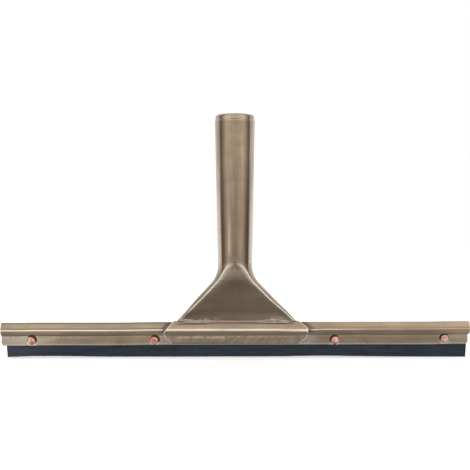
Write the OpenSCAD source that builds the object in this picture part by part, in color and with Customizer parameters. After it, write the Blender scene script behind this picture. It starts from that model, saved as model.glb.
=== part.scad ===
// Window cleaning squeegee: a soldered sheet bronze handle and rail with a riveted rubber blade.
// Millimetres. X runs along the blade, +Z points up the handle and -Y is the front.
// The origin is the middle of the blade's wiping edge.

/* [Rail] */
// Length of the folded rail that holds the blade
rail_len = 352; // [252:5:452]
// Thickness of the rail's sheet
rail_sheet = 0.9; // [0.6:0.1:1.0]
// Height of the rail's top fold above the wiping edge
rail_top_z = 26.3; // [25.6:0.1:27]
// Height of the ridge along the rail's bead
ridge_z = 20.5; // [19.8:0.1:21]
// How far the ridge stands from the middle plane
ridge_out = 5.4; // [4.8:0.1:6]

/* [Blade] */
// Length of the rubber blade
blade_len = 345; // [240:1:446]
// How far the blade sits to the right of the rail's middle
blade_shift = 0.9; // [-1:0.1:1]
// Thickness of the rubber
blade_t = 3.6; // [3:0.1:4]
// Rubber that stands out below the rail's lips
blade_reach = 9.6; // [8.6:0.1:10]
// Full height of the rubber strip
blade_h = 22.2; // [20:0.1:22.6]

/* [Rivets] */
// Diameter of the copper rivets' shanks
rivet_d = 3; // [2:0.1:3.4]
// Diameter of the rivets' heads
rivet_head_d = 6; // [5:0.1:6]
// How deep each head is drawn into the lip
dimple_depth = 0.55; // [0.3:0.05:0.6]

/* [Handle] */
// Outside diameter at the mouth
mouth_d = 29.7; // [28:0.1:32]
// Outside diameter at the neck, where the fan begins
neck_d = 25.3; // [24:0.1:27]
// Height of the handle's mouth above the wiping edge
mouth_z = 182; // [150:1:220]
// Height of the neck
neck_z = 72; // [71:0.5:75]
// Thickness of the two pressed half shells
shell_sheet = 1; // [0.8:0.1:1.2]

/* [Fan] */
// Angle between the fan's sides and the handle's axis
flare_angle = 43.3; // [40:0.1:46]
// Radius of the bend from the neck into the fan's sides
flare_r = 20; // [16:0.5:24]
// Width of the rounded edge outside each ridge of the fan's face
edge_w = 3.4; // [2.9:0.1:4]
// Width of that edge at the foot of the fan, where the ridges run out to its sides
edge_foot = 1.9; // [1.8:0.1:2.9]
// Half of the fan's thickness where it meets the saddle
fan_base_half = 3.4; // [3.3:0.1:4]

/* [Saddle] */
// Half of the saddle's length, to its blunt right end
saddle_half = 54.8; // [52:0.1:58]
// Thickness of the saddle's sheet
saddle_sheet = 0.85; // [0.6:0.05:1]

/* [Mouth ring] */
// Bore of the ring, which takes the end of a pole
socket_d = 22.8; // [21:0.1:23]
// Height of the ring's collar above the shells
collar_h = 4.5; // [4:0.1:6]
// Depth of the ring's spigot inside the shells
spigot_h = 9; // [6:0.5:14]

/* [Hidden] */

bronze = [0.55, 0.46, 0.35];
tin = [0.66, 0.64, 0.61];
copper = [0.80, 0.50, 0.42];
rubber = [0.17, 0.20, 0.23];

solder_gap = 0.04;  // film of solder between two soldered sheets
seam_gap = 0.3;     // solder between the two half shells
seam_proud = 0.12;  // how far the seam stands out of the shells
round_n = 10;       // segments in a quarter of the fan's section
fan_levels = 24;    // sections up the fan

// Where each rivet goes through the rail, as drilled by hand: [x, z]
rivet_at = [[-152.9, 12.8], [-60.7, 12.9], [74.8, 12.8], [157.2, 13.9]];

// ---------- outlines ----------

function unit(v) = v / norm(v);
function side(a, b) = let (u = unit(b - a)) [-u[1], u[0]];

// The open path p moved sideways by d, to its left, with mitred corners.
function shifted(p, d) = [for (i = [0:len(p) - 1])
    let (
        before = side(p[max(i - 1, 0)], p[max(i, 1)]),
        after = side(p[min(i, len(p) - 2)], p[min(i + 1, len(p) - 1)])
    )
    p[i] + d * (before + after) / (1 + before * after)];

// A path corner at b rounded to radius r, as an arc of n segments.
function rounded(a, b, c, r, n) =
    let (
        to_a = unit(a - b),
        to_c = unit(c - b),
        half = acos(to_a * to_c) / 2,
        middle = b + unit(to_a + to_c) * r / sin(half),
        from = b + to_a * r / tan(half) - middle,
        turn = cross(to_a, to_c) > 0 ? 2 * half - 180 : 180 - 2 * half
    )
    [for (k = [0:n])
        let (t = turn * k / n)
        middle + [from[0] * cos(t) - from[1] * sin(t), from[0] * sin(t) + from[1] * cos(t)]];

function backwards(p) = [for (i = [len(p) - 1:-1:0]) p[i]];
function mirrored(p) = backwards([for (q = p) [-q[0], q[1]]]);

// The outside of the rail's rear half as [out, z], from the top fold down to the lip's edge.
lip_out = blade_t / 2 + rail_sheet;
top_half = 2.3;
lip_z = blade_reach;
groove_z = lip_z + 7.3;
corners = [[0, rail_top_z], [top_half, rail_top_z], [ridge_out, ridge_z],
           [lip_out, groove_z], [lip_out, lip_z]];
rail_side = concat(
    rounded(corners[0], corners[1], corners[2], 1.3, 4),
    rounded(corners[1], corners[2], corners[3], 0.95, 5),
    rounded(corners[2], corners[3], corners[4], 1.2, 3),
    [corners[4]]);

// A sheet of thickness t bent round the rail, at gap from it, with its lower edges cut at z = low.
function wrap(gap, t, low) =
    let (
        side_path = [for (p = rail_side) if (p[1] > low) p],
        last = side_path[len(side_path) - 1],
        path = concat(side_path, last[1] > low ? [[last[0], low]] : []),
        whole = concat(mirrored(path), path)
    )
    concat(shifted(whole, gap + t), backwards(shifted(whole, gap)));

// Extrudes a [y, z] outline along X, centred.
module along_x(length) {
    translate([-length / 2, 0, 0])
        rotate([90, 0, 90])
            linear_extrude(length)
                children();
}

// Extrudes an [x, z] outline along Y, from y = from to y = to.
module along_y(from, to) {
    translate([0, to, 0])
        rotate([90, 0, 0])
            linear_extrude(to - from)
                children();
}

// ---------- handle ----------

function tube_r(z) = neck_d / 2 + (mouth_d - neck_d) / 2 * (z - neck_z) / (mouth_z - neck_z);

collar_z = mouth_z - collar_h;
saddle_top_z = rail_top_z + solder_gap + saddle_sheet;
fan_base_z = saddle_top_z + solder_gap;
flare_z = neck_z - 2.9;                           // where the sides begin to bend out
straight_z = flare_z - flare_r * sin(flare_angle);  // where they run straight
straight_x = neck_d / 2 + 0.05 + flare_r * (1 - cos(flare_angle));

// Half of the fan's width at height z, to its side seam.
function fan_half(z) =
    z >= flare_z ? neck_d / 2 + 0.05
    : z >= straight_z ? neck_d / 2 + 0.05 + flare_r * (1 - sqrt(1 - pow((flare_z - z) / flare_r, 2)))
    : straight_x + (straight_z - z) * tan(flare_angle);

// Width of the rounded edge: the whole half section at the neck, narrowing fast to edge_w and
// again to edge_foot at the foot of the sides.
fade_z = neck_z - 19;
taper_h = 17;
function side_edge(z) = edge_foot + (edge_w - edge_foot) * min(1, (z - fan_base_z) / taper_h);
function edge(z) =
    let (s = side_edge(z))
    s + (fan_half(z) - 0.1 - s) * pow(max(0, (z - fade_z) / (neck_z - fade_z)), 3.8);

// Half of the fan's thickness.
flat_z = fan_base_z + 1;
function fan_deep(z) =
    fan_base_half + (neck_d / 2 + 0.05 - fan_base_half) * pow(max(0, (z - flat_z) / (neck_z - flat_z)), 1.8);

// One side of a section: points [x, out] from the seam to the ridge, for a skin set in by inset.
function half_section(z, inset) =
    let (
        a = edge(z) - inset * (z < flare_z ? 1.3 : 1),
        b = fan_deep(z) - inset,
        ridge = fan_half(z) - edge(z)
    )
    [for (k = [0:round_n])
        let (t = 90 * k / round_n)
        [ridge + a * cos(t), k == 0 ? seam_gap / 2 : b * sin(t)]];

function full_section(z, inset) =
    let (h = half_section(z, inset))
    concat([for (p = h) [-p[0], p[1]]], backwards(h));

// The section of the sheet: the outside from left to right, then the inside back again.
function sheet_ring(z) =
    [for (p = concat(full_section(z, 0), backwards(full_section(z, shell_sheet + 0.1))))
        [p[0], -p[1], z]];

// A closed solid through rings of points, from the lowest ring to the highest. The first half
// of each ring runs along the sheet's outside and the second half back along its inside.
module skin(rings) {
    n = len(rings[0]);
    last = (len(rings) - 1) * n;
    cap = [for (i = [0:n / 2 - 2]) each [[i, i + 1, n - 2 - i], [i, n - 2 - i, n - 1 - i]]];
    sides = [for (j = [0:len(rings) - 2]) for (i = [0:n - 1])
        let (a = j * n + i, b = j * n + (i + 1) % n)
        each [[a, b + n, b], [a, a + n, b + n]]];
    polyhedron(
        points = [for (r = rings) each r],
        faces = concat(cap, sides, [for (f = cap) [last + f[2], last + f[1], last + f[0]]]),
        convexity = 6);
}

module tube_half() {
    intersection() {
        rotate_extrude($fn = 96)
            polygon([
                [tube_r(neck_z) - shell_sheet, neck_z],
                [tube_r(neck_z), neck_z],
                [tube_r(collar_z), collar_z],
                [tube_r(collar_z) - shell_sheet, collar_z]]);
        translate([-mouth_d, -mouth_d - seam_gap / 2, 0])
            cube([2 * mouth_d, mouth_d, mouth_z]);
    }
}

// The front half: half of the tapered tube and the front of the flat fan. Its neck is a little
// thicker than the tube, so that the tube's end lies inside the fan's.
module front_shell() {
    tube_half();
    skin([for (k = [0:fan_levels]) sheet_ring(fan_base_z + (neck_z - fan_base_z) * k / fan_levels)]);
}

module handle_front_shell() {
    color(bronze) front_shell();
}

module handle_rear_shell() {
    color(bronze) mirror([0, 1, 0]) front_shell();
}

// The ring that closes the shells' mouth: a rounded collar on a spigot inside them.
module mouth_ring() {
    fit = 0.05;
    lip_r = 1.9;
    inner_r = 0.5;
    outside = tube_r(collar_z);
    shoulder = outside - 0.15;
    top = mouth_z;
    color(bronze)
        rotate_extrude($fn = 96)
            polygon(concat(
                [[socket_d / 2, collar_z - spigot_h],
                 [tube_r(collar_z - spigot_h) - shell_sheet - fit, collar_z - spigot_h],
                 [tube_r(collar_z) - shell_sheet - fit, collar_z],
                 [outside, collar_z]],
                [for (t = [0:15:90]) [shoulder - lip_r + lip_r * cos(t), top - lip_r + lip_r * sin(t)]],
                [for (t = [90:30:180]) [socket_d / 2 + inner_r + inner_r * cos(t), top - inner_r + inner_r * sin(t)]]));
}

// The solder between the two half shells, down one side.
module seam_solder(right) {
    levels = [for (k = [0:fan_levels]) neck_z - (neck_z - fan_base_z) * k / fan_levels];
    outer = concat([[tube_r(collar_z), collar_z]], [for (z = levels) [fan_half(z), z]]);
    inner = concat([[tube_r(collar_z) - shell_sheet, collar_z]],
                   [for (z = levels) [fan_half(z) - shell_sheet * (z < flare_z ? 1.43 : 1.1), z]]);
    outline = concat([for (p = outer) [p[0] + seam_proud, p[1]]], backwards(inner));
    color(tin)
        mirror([right ? 0 : 1, 0, 0])
            along_y(-seam_gap / 2, seam_gap / 2)
                polygon(outline);
}

// ---------- saddle ----------

// The saddle's front view: a long plate whose ends were cut by hand. The left one is pointed
// and the right one blunt. Each end runs from low to high, as [how far in from the tip, z].
saddle_low_z = lip_z + 0.7;
saddle_top_half = saddle_half - 9;
left_end = [[7.2, saddle_low_z], [2.2, 14.2], [0.8, 17.8], [4.7, 22], [7.2, 25.7]];
right_end = [[6.4, saddle_low_z], [2.1, 13.5], [0, 17], [0, 22], [5, 26]];
function saddle_end(right, grow) = concat(
    [for (p = right ? right_end : left_end) [(saddle_half - p[0] + grow) * (right ? 1 : -1), p[1]]],
    [[saddle_top_half * (right ? 1 : -1), saddle_top_z + 1]]);
function saddle_outline(grow) = concat(saddle_end(true, grow), backwards(saddle_end(false, grow)));

module saddle() {
    color(bronze)
        intersection() {
            along_x(2 * saddle_half + 2)
                polygon(wrap(solder_gap, saddle_sheet, saddle_low_z));
            along_y(-20, 20)
                polygon(saddle_outline(0));
        }
}

// The fillet of solder along the foot of the fan's face, down on the saddle's slope.
foot_half = fan_half(fan_base_z) - side_edge(fan_base_z);
module fan_solder(rear) {
    saddle_side = shifted(rail_side, solder_gap + saddle_sheet);
    slope_top = saddle_side[4];
    slope_foot = saddle_side[5];
    function on_slope(out) = [out, slope_top[1]
        + (slope_foot[1] - slope_top[1]) * (out - slope_top[0]) / (slope_foot[0] - slope_top[0])];
    film = 0.03;
    color(tin)
        mirror([0, rear ? 0 : 1, 0])
            along_x(2 * foot_half)
                polygon([
                    [fan_base_half + film, fan_base_z + 1.4],
                    [fan_base_half + film, fan_base_z - 1],
                    on_slope(fan_base_half + 0.25) + [film, film],
                    on_slope(fan_base_half + 0.65) + [film, film],
                    [fan_base_half + 0.4, fan_base_z - 0.1]]);
}

// The thin solder that ran out round one end of the saddle, on one side of the rail.
module saddle_solder(right, rear) {
    run = 1.8;
    thick = 0.4;
    film = 0.02;
    inside = (saddle_half - 10) * (right ? 1 : -1);
    below_top = [for (p = saddle_end(right, run)) if (p[1] < saddle_top_z - 1.2) p];
    color(tin)
        mirror([0, rear ? 0 : 1, 0])
            intersection() {
                along_x(2 * saddle_half + 8)
                    polygon(wrap(film, thick, lip_z + 0.3));
                along_y(1, 20)
                    difference() {
                        polygon(concat(below_top, [[inside, saddle_top_z - 1.2], [inside, saddle_low_z]]));
                        polygon(saddle_outline(film));
                    }
            }
}

// ---------- rail, blade and rivets ----------

// A cone across the rail at one rivet, from radius r_in at out = from to radius r_out at out = to.
module cone_at(p, from, to, r_in, r_out) {
    translate([p[0], from, p[1]])
        rotate([-90, 0, 0])
            cylinder(h = to - from, r1 = r_in, r2 = r_out, $fn = 48);
}

head_r = rivet_head_d / 2;
seat_r = head_r + 0.08;
dimple_r = head_r + 0.7;
bump_end = 2.5;   // radius of the dimple's inner end
bump_root = 3.0;  // and where it leaves the lip

module both_sides() {
    children();
    mirror([0, 1, 0]) children();
}

module rail() {
    color(bronze)
        difference() {
            union() {
                along_x(rail_len)
                    polygon(wrap(-rail_sheet, rail_sheet, lip_z));
                for (p = rivet_at)
                    both_sides()
                        cone_at(p, blade_t / 2 - dimple_depth, blade_t / 2 + 0.2, bump_end, bump_root);
            }
            for (p = rivet_at) {
                both_sides()
                    cone_at(p, lip_out - dimple_depth, lip_out + 0.3,
                            seat_r, seat_r + (dimple_r - seat_r) * (dimple_depth + 0.3) / dimple_depth);
                cone_at(p, -lip_out, lip_out, rivet_d / 2, rivet_d / 2);
            }
        }
}

module blade() {
    clear = 0.03;
    color(rubber)
        difference() {
            translate([blade_shift - blade_len / 2, -blade_t / 2 + clear, 0])
                cube([blade_len, blade_t - 2 * clear, blade_h]);
            for (p = rivet_at) {
                both_sides()
                    cone_at(p, blade_t / 2 - dimple_depth - clear, blade_t / 2 + 0.2,
                            bump_end + clear, bump_root + clear);
                cone_at(p, -blade_t, blade_t, rivet_d / 2, rivet_d / 2);
            }
        }
}

// A solid copper rivet: its shank, and a low head drawn into each lip.
module rivet(p) {
    seat = lip_out - dimple_depth + 0.02;
    head_h = 0.9;
    rim = 0.25;
    color(copper)
        translate([p[0], 0, p[1]])
            rotate([90, 0, 0])
                rotate_extrude($fn = 48)
                    polygon([
                        [0, -seat - head_h], [head_r - 2 * rim, -seat - head_h],
                        [head_r, -seat - head_h + 2 * rim], [head_r, -seat],
                        [rivet_d / 2 - 0.02, -seat], [rivet_d / 2 - 0.02, seat],
                        [head_r, seat], [head_r, seat + head_h - 2 * rim],
                        [head_r - 2 * rim, seat + head_h], [0, seat + head_h]]);
}

handle_front_shell();
handle_rear_shell();
mouth_ring();
seam_solder(false);  // seam_solder_left
seam_solder(true);  // seam_solder_right
fan_solder(false);  // fan_solder_front
fan_solder(true);  // fan_solder_rear
saddle();
saddle_solder(false, false);  // saddle_solder_front_left
saddle_solder(true, false);  // saddle_solder_front_right
saddle_solder(false, true);  // saddle_solder_rear_left
saddle_solder(true, true);  // saddle_solder_rear_right
rail();
blade();
rivet(rivet_at[0]);  // rivet_1
rivet(rivet_at[1]);  // rivet_2
rivet(rivet_at[2]);  // rivet_3
rivet(rivet_at[3]);  // rivet_4
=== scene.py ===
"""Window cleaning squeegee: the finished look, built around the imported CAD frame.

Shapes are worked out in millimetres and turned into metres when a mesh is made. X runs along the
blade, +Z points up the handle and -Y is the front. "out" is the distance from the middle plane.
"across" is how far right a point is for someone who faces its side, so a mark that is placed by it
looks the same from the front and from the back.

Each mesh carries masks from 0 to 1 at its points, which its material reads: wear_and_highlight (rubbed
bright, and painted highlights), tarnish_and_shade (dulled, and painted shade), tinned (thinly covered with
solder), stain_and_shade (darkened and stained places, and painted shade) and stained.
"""
import math

import bmesh
import bpy
import numpy as np
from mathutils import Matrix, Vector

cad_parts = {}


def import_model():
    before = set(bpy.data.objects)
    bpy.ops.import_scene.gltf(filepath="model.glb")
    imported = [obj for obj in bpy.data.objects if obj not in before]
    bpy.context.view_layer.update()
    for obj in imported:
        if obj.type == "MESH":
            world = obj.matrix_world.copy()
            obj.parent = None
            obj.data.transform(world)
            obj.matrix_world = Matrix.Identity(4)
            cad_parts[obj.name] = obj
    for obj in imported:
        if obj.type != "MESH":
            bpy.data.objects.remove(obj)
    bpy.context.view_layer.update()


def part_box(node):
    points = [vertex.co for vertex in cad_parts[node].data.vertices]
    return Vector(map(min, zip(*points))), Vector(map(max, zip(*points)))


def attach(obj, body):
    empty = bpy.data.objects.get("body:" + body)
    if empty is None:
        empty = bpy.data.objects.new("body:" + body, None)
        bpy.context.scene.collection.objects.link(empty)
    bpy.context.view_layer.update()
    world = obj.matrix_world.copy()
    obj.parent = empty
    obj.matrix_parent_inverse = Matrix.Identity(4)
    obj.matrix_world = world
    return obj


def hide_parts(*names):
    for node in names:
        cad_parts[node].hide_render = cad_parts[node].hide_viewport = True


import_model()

MM = 0.001
FRONT, REAR = -1, 1
LEFT, RIGHT = -1, 1


def node_box(node):
    """The lowest and highest corner of a CAD node, in millimetres."""
    low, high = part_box(node)
    return np.array(low) / MM, np.array(high) / MM


# ---------- Sizes, from the frame where it has them ----------
RAIL_LOW, RAIL_HIGH = node_box("rail")
BLADE_LOW, BLADE_HIGH = node_box("blade")
RING_LOW, RING_HIGH = node_box("mouth_ring")
SHELL_LOW, SHELL_HIGH = node_box("handle_front_shell")
RIVET_BOXES = [node_box(f"rivet_{number}") for number in (1, 2, 3, 4)]

SHEET = 1.0  # the half shells' sheet
RAIL_SHEET = 0.9
SADDLE_SHEET = 0.85
SADDLE_GAP = 0.04  # between the saddle and the rail inside it
MOUTH_Z = RING_HIGH[2]
COLLAR_Z = SHELL_HIGH[2]  # the shells end here, under the ring's collar
MOUTH_R = 14.85
NECK_R = 12.65
NECK_Z = 72.0  # the tube stands on the fan here
TUBE_BEND = 8.0  # height over which the tube starts to widen
SOCKET_R = 11.4
FAN_BASE_Z = SHELL_LOW[2]
FAN_BASE_OUT = 3.4  # half of the fan's thickness at its foot
FLARE_Z = NECK_Z - 2.9  # the fan's sides curve outward below this
FLARE_R = 20.0
FLARE_ANGLE = math.radians(43.3)
STRAIGHT_Z = FLARE_Z - FLARE_R * math.sin(FLARE_ANGLE)  # and run straight below this
STRAIGHT_X = NECK_R + 0.05 + FLARE_R * (1 - math.cos(FLARE_ANGLE))
EDGE_W = 3.4  # width of the folded side, seen from the front
EDGE_FOOT = 1.1  # the same at the fan's foot
EDGE_TAPER = 17.0  # height over which it narrows to the foot
EDGE_MERGE = 19.0  # height over which it widens into the tube
SEAM_GAP = 0.3

RAIL_TOP = RAIL_HIGH[2]
LIP_Z = RAIL_LOW[2]
RIDGE_OUT = RAIL_HIGH[1]
RIDGE_Z = 20.5
TOP_HALF = 2.3  # half of the flat top of the rail's fold
LIP_OUT = 2.7
GROOVE_Z = LIP_Z + 7.3  # the bead ends and the lip starts here
RAIL_BENDS = (1.3, 0.75, 1.2)  # radii at the top fold, the ridge and the groove
SADDLE_HALF = node_box("saddle")[1][0]
SADDLE_CUT_Z = LIP_Z + 0.7

HEAD_R = 3.25
HEAD_H = 0.9
SHANK_R = 1.48
DIMPLE_DEPTH = 0.55
DIMPLE_R = HEAD_R + 0.55
DIMPLE_SHIFT_X = 0.35  # each head sits off the middle of its dimple,
DIMPLE_SHIFT_Z = 0.4  # towards the rail's end and the lip's edge


# ---------- Mesh building ----------
def waves(points, size, seed, octaves=2):
    """A smooth random field between about -1 and 1: sines of about one wave per size mm."""
    rng = np.random.RandomState(seed)
    total = np.zeros(points.shape[:-1])
    weight = 1.0
    for octave in range(octaves):
        for _ in range(5):
            way = rng.normal(size=3)
            way *= 2 * math.pi * 2 ** octave / (np.array(size) * np.linalg.norm(way) * rng.uniform(0.7, 1.4))
            total += weight * np.sin(points @ way + rng.uniform(0, 2 * math.pi))
        weight *= 0.5
    return total / 5


def smooth(low, high, value):
    """A soft step from 0 at low to 1 at high, which may be below low."""
    t = np.clip((value - low) / (high - low), 0, 1)
    return t * t * (3 - 2 * t)


def bell(value, width):
    """1 where the value is 0, fading out within about twice the width."""
    return np.exp(-(value / width) ** 2)


def unit(v):
    return v / np.maximum(np.linalg.norm(v, axis=-1, keepdims=True), 1e-9)


def add(name, data):
    """A new object with this data, in the scene."""
    thing = bpy.data.objects.new(name, data)
    bpy.context.scene.collection.objects.link(thing)
    return thing


def make_mesh(name, points, faces, masks, sharp=None):
    """An object from points in millimetres; edges that bend more than sharp degrees stay sharp."""
    mesh = bpy.data.meshes.new(name)
    mesh.from_pydata((np.asarray(points) * MM).tolist(), [], faces)
    for mask, values in masks.items():
        layer = mesh.attributes.new(mask, "FLOAT", "POINT")
        layer.data.foreach_set("value", np.clip(values, 0, 1).astype(np.float32))
    bm = bmesh.new()
    bm.from_mesh(mesh)
    bmesh.ops.recalc_face_normals(bm, faces=bm.faces)
    bm.to_mesh(mesh)
    bm.free()
    mesh.shade_smooth()
    if sharp:
        mesh.set_sharp_from_angle(angle=math.radians(sharp))
    return add(name, mesh)


def quads(rows, columns, first=0, flip=False):
    """The faces of a grid of points that is numbered row by row."""
    corners = (0, 1, columns + 1, columns)[::-1 if flip else 1]
    starts = (first + i * columns + j for i in range(rows - 1) for j in range(columns - 1))
    return [tuple(start + corner for corner in corners) for start in starts]


def round_border(layers, masks, roundness):
    """Adds the rounded edge rows of a sheet's two layers before the first row and after the last."""
    def edge(k, beside):
        outer, inner = layers[:, k]
        middle, half = (outer + inner) / 2, (outer - inner) / 2
        away = unit(outer - layers[0, beside])
        reach = np.linalg.norm(half, axis=-1, keepdims=True) * roundness
        rows = []
        for turn in np.radians([75, 40]):
            push = away * reach * math.sin(turn)
            rows.append([middle + half * math.cos(turn) + push, middle - half * math.cos(turn) + push])
        return np.swapaxes(rows, 0, 1)
    layers = np.concatenate([edge(0, 1), layers, edge(-1, -2)[:, ::-1]], axis=1)
    return layers, {k: np.concatenate([m[:1], m[:1], m, m[-1:], m[-1:]]) for k, m in masks.items()}


def sheet_mesh(name, outer, inner, masks, roundness=0.6):
    """A closed sheet between two grids of points, with rounded edges all round."""
    layers, masks = round_border(np.stack([outer, inner]), masks, roundness)
    layers, masks = layers.swapaxes(1, 2), {k: m.T for k, m in masks.items()}
    layers, masks = round_border(layers, masks, roundness)
    rows, columns = layers.shape[1:3]
    count = rows * columns
    faces = quads(rows, columns) + quads(rows, columns, count, flip=True)
    number = np.arange(count).reshape(rows, columns)
    border = [number[0], number[1:, -1], number[-1, -2::-1], number[-2:0:-1, 0]]
    border = np.concatenate(border).tolist()
    faces += [(b, a, a + count, b + count) for a, b in zip(border, border[1:] + border[:1])]
    masks = {k: np.tile(m.ravel(), 2) for k, m in masks.items()}
    return make_mesh(name, layers.reshape(-1, 3), faces, masks)


def loft_mesh(name, rings, masks=None, wrap=False, sharp=None):
    """A closed mesh through rings of points: capped at its ends, or joined end to end."""
    rings = np.asarray(rings, float)
    rows, columns = rings.shape[:2]
    number = np.arange(rows * columns).reshape(rows, columns)
    steps = ((0, 0), (0, -1), (-1, -1), (-1, 0))
    corners = np.stack([np.roll(number, step, axis=(0, 1)) for step in steps], axis=-1)
    faces = corners[:rows if wrap else rows - 1].reshape(-1, 4).tolist()
    points = rings.reshape(-1, 3)
    masks = {k: m.ravel() for k, m in (masks or {}).items()}
    if not wrap:
        for row, flip in ((0, True), (rows - 1, False)):
            hub = len(points)
            points = np.concatenate([points, [rings[row].mean(axis=0)]])
            masks = {k: np.append(m, m[row * columns]) for k, m in masks.items()}
            for pair in corners[row, :, :2].tolist():
                faces.append((*(pair[::-1] if flip else pair), hub))
    return make_mesh(name, points, faces, masks, sharp)


def along(path, spacing):
    """Points on a path of corners at about the given spacing, with the corners kept."""
    out = [path[0]]
    for a, b in zip(path[:-1], path[1:]):
        steps = max(1, int(round(np.linalg.norm(b - a) / spacing)))
        out += [a + (b - a) * k / steps for k in range(1, steps + 1)]
    return np.array(out)


def rounded(a, b, c, radius, steps=8):
    """An arc that rounds the corner at b between a and c."""
    to_a, to_c = unit(a - b), unit(c - b)
    half = math.acos(float(np.dot(to_a, to_c))) / 2
    middle = b + unit(to_a + to_c) * radius / math.sin(half)
    start = b + to_a * radius / math.tan(half) - middle
    turn = (math.pi - 2 * half) * (-1 if to_a[0] * to_c[1] - to_a[1] * to_c[0] > 0 else 1)
    angles = np.linspace(0, turn, steps + 1)
    cos, sin = np.cos(angles), np.sin(angles)
    return middle + np.stack([start[0] * cos - start[1] * sin, start[0] * sin + start[1] * cos], axis=1)


def path_normals(path):
    """The way out of a path of [out, z] points that runs from the top fold down."""
    step = np.gradient(path, axis=0)
    return unit(np.stack([-step[:, 1], step[:, 0]], axis=1))


# ---------- Materials ----------
class Nodes:
    """A node tree, with short calls for the nodes that repeat."""

    def __init__(self, tree):
        self.tree = tree

    def new(self, kind):
        return self.tree.nodes.new("ShaderNode" + kind)

    def set(self, socket, value):
        """Links the socket to another one, or gives it a plain value."""
        if isinstance(value, bpy.types.NodeSocket):
            self.tree.links.new(value, socket)
        else:
            socket.default_value = value

    def math(self, kind, a, b=0.0):
        node = self.new("Math")
        node.operation = kind
        self.set(node.inputs[0], a)
        self.set(node.inputs[1], b)
        return node.outputs[0]

    def times(self, a, b):
        return self.math("MULTIPLY", a, b)

    def mix(self, factor, a, b, kind="RGBA"):
        """A mix of two colours, or of two plain numbers where the kind is FLOAT."""
        node = self.new("Mix")
        node.data_type = kind
        first = 6 if kind == "RGBA" else 2
        for index, value in ((0, factor), (first, a), (first + 1, b)):
            self.set(node.inputs[index], value)
        return node.outputs[2 if kind == "RGBA" else 0]


class Finish(Nodes):
    """A material, built on its Principled shader."""

    def __init__(self, name):
        self.material = bpy.data.materials.new(name)
        self.material.use_nodes = True
        super().__init__(self.material.node_tree)
        self.shader = self.tree.nodes["Principled BSDF"]
        self.place = self.new("TexCoord").outputs["Object"]

    def noise(self, size, detail=3.0):
        """Noise whose waves are about size mm long, one size for each axis."""
        mapping = self.new("Mapping")
        mapping.inputs["Scale"].default_value = [1 / (s * MM) for s in size]
        self.set(mapping.inputs["Vector"], self.place)
        node = self.new("TexNoise")
        node.inputs["Scale"].default_value = 1.0
        node.inputs["Detail"].default_value = detail
        node.inputs["Roughness"].default_value = 0.55
        self.set(node.inputs["Vector"], mapping.outputs["Vector"])
        return node.outputs["Fac"]

    def mask(self, name):
        node = self.new("Attribute")
        node.attribute_name = name
        return node.outputs["Fac"]

    def ramp(self, value, low, high, out_low=0.0, out_high=1.0):
        """A soft step from out_low to out_high as the value goes from low to high."""
        node = self.new("MapRange")
        node.interpolation_type = "SMOOTHSTEP"
        for socket, v in zip(list(node.inputs)[:5], (value, low, high, out_low, out_high)):
            self.set(socket, v)
        return node.outputs["Result"]

    def bump(self, *layers):
        """Bump from (height, depth in mm) layers, one on the other."""
        normal = None
        for height, depth in layers:
            node = self.new("Bump")
            node.inputs["Distance"].default_value = depth * MM
            self.set(node.inputs["Height"], height)
            if normal:
                self.set(node.inputs["Normal"], normal)
            normal = node.outputs["Normal"]
        self.set(self.shader.inputs["Normal"], normal)

    def finish(self, color, roughness, metallic, **constants):
        self.set(self.shader.inputs["Base Color"], color)
        self.set(self.shader.inputs["Roughness"], roughness)
        self.set(self.shader.inputs["Metallic"], metallic)
        for socket, value in constants.items():
            self.shader.inputs[socket.replace("_", " ")].default_value = value
        return self.material


BRONZE = (0.57, 0.42, 0.282, 1)
BRONZE_DARK = (0.29, 0.228, 0.160, 1)
# Bright bronze: rubbed metal, and the colour of the painted highlights.
BRONZE_BRIGHT = (1.0, 0.89, 0.73, 1)
# Dark colour for stains and for painted shade.
BRONZE_STAIN_AND_SHADE = (0.11, 0.07, 0.045, 1)
TIN = (0.50, 0.425, 0.39, 1)
SOLDER, SOLDER_PALE, SOLDER_SHINY = (0.36, 0.295, 0.26, 1), (0.45, 0.38, 0.345, 1), (0.62, 0.55, 0.50, 1)
# The second is the dark colour for stains and for the painted shadow along a fillet's foot.
SOLDER_BROWN, SOLDER_STAIN_AND_SHADE = (0.40, 0.30, 0.20, 1), (0.10, 0.072, 0.052, 1)
# The last is the colour of the painted shade round the rivets' heads.
COPPER, COPPER_PALE, COPPER_SHADE = (0.66, 0.27, 0.19, 1), (1.0, 0.66, 0.54, 1), (0.09, 0.022, 0.015, 1)
RUBBER, RUBBER_PALE = (0.009, 0.016, 0.024, 1), (0.018, 0.028, 0.040, 1)
RUBBER_WORN = (0.045, 0.056, 0.066, 1)


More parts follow.
